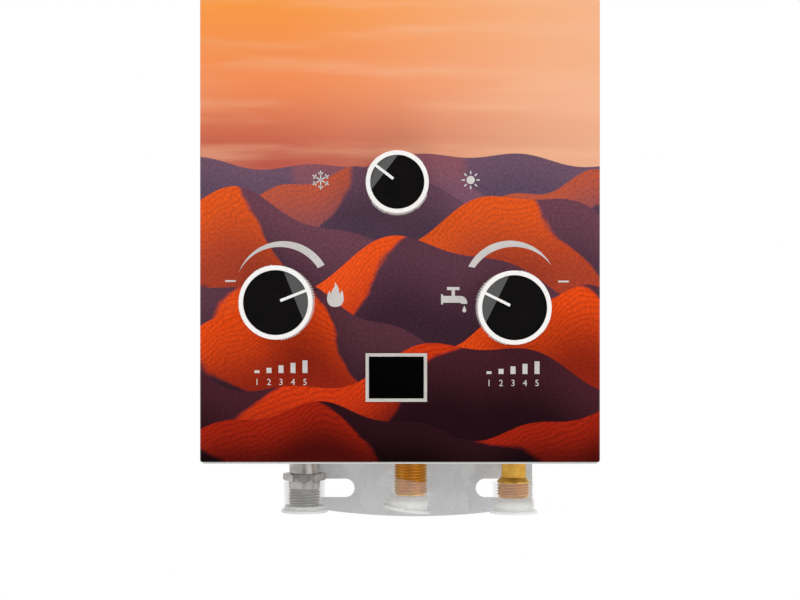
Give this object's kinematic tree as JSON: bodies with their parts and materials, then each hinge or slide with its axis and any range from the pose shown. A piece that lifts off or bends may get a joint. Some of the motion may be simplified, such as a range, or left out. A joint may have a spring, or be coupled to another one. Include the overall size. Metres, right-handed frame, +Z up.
{
  "type": "wall-hung gas water heater",
  "caption": "Wall-hung instantaneous gas water heater: printed glass front, turning control knobs, small display, capped pipe connections, with burner, exchanger and valves inside.",
  "frame": {"origin": "on the wall face, on the front panel's centre line, level with the panel's lower edge", "axes": "+Z up, +X to the right seen from the front, +Y into the wall"},
  "size_m": [0.2416, 0.136, 0.4534],
  "materials": {
    "painted_steel": "white powder coat",
    "zinc_steel": "zinc-coated sheet",
    "printed_glass": "toughened, printed on the back",
    "silver_plastic": "metallised",
    "smoked_window": "polished",
    "figure_module": "moulded",
    "circuit_board": "solder mask",
    "white_plastic": "moulded",
    "black_plastic": "polished",
    "turned_brass": "turned",
    "plated_brass": "nickel plated",
    "die_cast": "die cast",
    "copper": "drawn and brazed",
    "stainless": "pressed",
    "rubber": "moulded",
    "ceramic": "glazed",
    "dark_plastic": "moulded",
    "lead_sheath": "silicone",
    "cell_can": "sleeved",
    "clear_polythene": "moulded"
  },
  "bodies": {
    "heater": {"back_plate": "zinc_steel", "battery_box": "dark_plastic", "battery_contacts": "stainless", "bottom_plate": "painted_steel", "burner_blades": "stainless", "burner_frame": "stainless", "casing": "painted_steel", "chamber_brackets": "zinc_steel", "cold_inlet_fitting": "turned_brass", "combustion_chamber": "copper", "control_box": "dark_plastic", "d_cells": "cell_can", "diaphragm": "rubber", "display_bezel": "silver_plastic", "display_board": "circuit_board", "display_window": "smoked_window", "electrodes": "ceramic", "exchanger_fins": "copper", "exchanger_tubes": "copper", "flue_collar": "zinc_steel", "flue_hood": "zinc_steel", "gas_inlet_fitting": "turned_brass", "gas_manifold": "die_cast", "gas_riser": "die_cast", "gas_valve_body": "die_cast", "gas_valve_spring": "stainless", "gland_plates": "turned_brass", "glass_panel": "printed_glass", "hot_outlet_fitting": "plated_brass", "hot_pipe": "copper", "ignition_lead": "lead_sheath", "injectors": "turned_brass", "jacket_coil": "copper", "led_display": "figure_module", "microswitch": "dark_plastic", "overheat_thermostat": "stainless", "season_valve_body": "die_cast", "sheet_screws": "zinc_steel", "solenoid_coil": "stainless", "valve_brackets": "zinc_steel", "water_valve_body": "turned_brass", "water_valve_cover": "turned_brass"},
    "season_control": {"season_knob": "white_plastic", "season_knob_disc": "black_plastic", "season_spindle": "turned_brass"},
    "gas_control": {"gas_knob": "white_plastic", "gas_knob_disc": "black_plastic", "gas_spindle": "turned_brass"},
    "water_control": {"water_knob": "white_plastic", "water_knob_disc": "black_plastic", "water_spindle": "turned_brass"},
    "rod": {"push_rod": "turned_brass", "gas_valve_disc": "rubber"},
    "switch_lever": {"microswitch_lever": "stainless"},
    "plunger": {"solenoid_plunger": "stainless"},
    "lid": {"battery_lid": "dark_plastic", "lid_contact": "stainless"},
    "hot_plug": {"hot_cap": "clear_polythene"},
    "gas_plug": {"gas_cap": "clear_polythene"},
    "cold_plug": {"cold_cap": "clear_polythene"}
  },
  "joints": [
    {"name": "season_turn", "type": "hinge", "parent": "heater", "child": "season_control", "pos_m": [-0.0016, -0.112, 0.1668], "axis": [0, 1, 0], "range_deg": [0, 105]},
    {"name": "gas_turn", "type": "hinge", "parent": "heater", "child": "gas_control", "pos_m": [-0.07305, -0.112, 0.0959], "axis": [0, 1, 0], "range_deg": [-133, 0]},
    {"name": "water_turn", "type": "hinge", "parent": "heater", "child": "water_control", "pos_m": [0.0673, -0.112, 0.0929], "axis": [0, 1, 0], "range_deg": [0, 125]},
    {"name": "rod_push", "type": "slide", "parent": "heater", "child": "rod", "axis": [-1, 0, 0], "range_m": [0, 0.003], "stiffness_N_per_m": 300, "springref_m": -0.006},
    {"name": "lever_swing", "type": "hinge", "parent": "heater", "child": "switch_lever", "pos_m": [0.0272, -0.0601, 0.1118], "axis": [0, 1, 0], "range_deg": [0, 12.5]},
    {"name": "plunger_pull", "type": "slide", "parent": "heater", "child": "plunger", "axis": [0, 0, -1], "range_m": [0, 0.003], "stiffness_N_per_m": 200, "springref_m": -0.004},
    {"name": "lid_open", "type": "hinge", "parent": "heater", "child": "lid", "pos_m": [-0.0992, -0.0188, 0.0025], "axis": [1, 0, 0], "range_deg": [0, 90]},
    {"name": "hot_cap_pull", "type": "slide", "parent": "heater", "child": "hot_plug", "axis": [0, 0, -1], "range_m": [0, 0.07]},
    {"name": "gas_cap_pull", "type": "slide", "parent": "heater", "child": "gas_plug", "axis": [0, 0, -1], "range_m": [0, 0.07]},
    {"name": "cold_cap_pull", "type": "slide", "parent": "heater", "child": "cold_plug", "axis": [0, 0, -1], "range_m": [0, 0.07]}
  ],
  "couplings": [
    {"joint": "lever_swing", "follows": "rod_push", "rad_per_m": 69.8}
  ]
}
